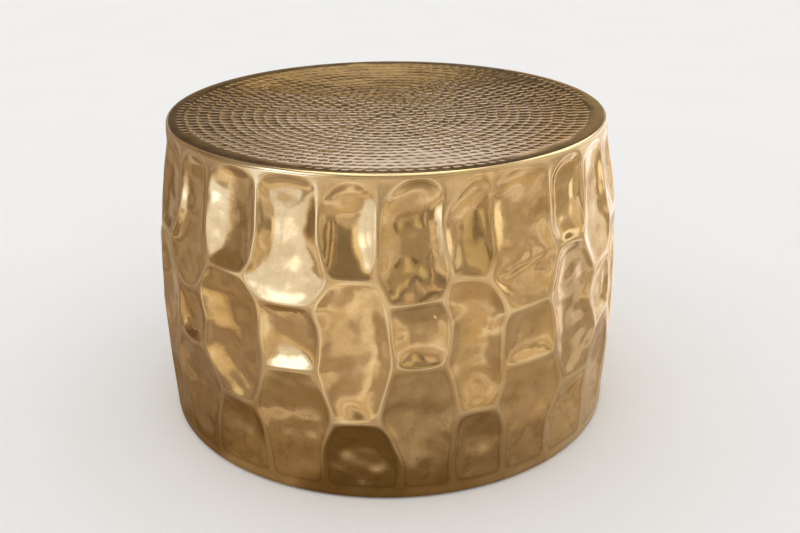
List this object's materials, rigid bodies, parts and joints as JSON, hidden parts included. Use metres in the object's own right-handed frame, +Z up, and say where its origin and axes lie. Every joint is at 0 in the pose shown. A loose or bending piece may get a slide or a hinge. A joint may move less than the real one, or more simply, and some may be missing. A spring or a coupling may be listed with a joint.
{
  "type": "round coffee table",
  "caption": "Round drum coffee table in brass-finished cast metal: barrelled wall of brick-like scooped facets, dished hammered top with a rolled edge, hollow body on low rubber feet.",
  "frame": {"origin": "on the floor, at the centre of the drum's bottom, level with the underside of the feet", "axes": "+Z up, the pictured front of the table towards -Y, +X to its right"},
  "size_m": [0.6858, 0.6857, 0.445],
  "materials": {
    "brass_shell": "cast aluminium, polished antique brass finish, darker in the hollows",
    "brass_top": "hammered sheet aluminium, polished antique brass finish",
    "ring_metal": "mill finish rolled angle",
    "weld_metal": "raw tack weld",
    "brace_steel": "black powder coat",
    "rubber_trim": "matte",
    "rubber_feet": "matte",
    "zinc_hardware": "zinc plated"
  },
  "bodies": {
    "root": {"drum_wall": "brass_shell", "top_plate": "brass_top", "top_ring": "ring_metal", "top_ring_welds": "weld_metal", "base_ring": "ring_metal", "base_ring_welds": "weld_metal", "brace_x": "brace_steel", "brace_y": "brace_steel", "brace_tabs": "brace_steel", "brace_trims": "rubber_trim", "plate_studs": "zinc_hardware", "plate_washers": "zinc_hardware", "plate_nuts": "zinc_hardware", "foot_pads": "rubber_feet", "foot_screws": "zinc_hardware", "foot_washers": "zinc_hardware", "foot_nuts": "zinc_hardware"}
  },
  "joints": []
}
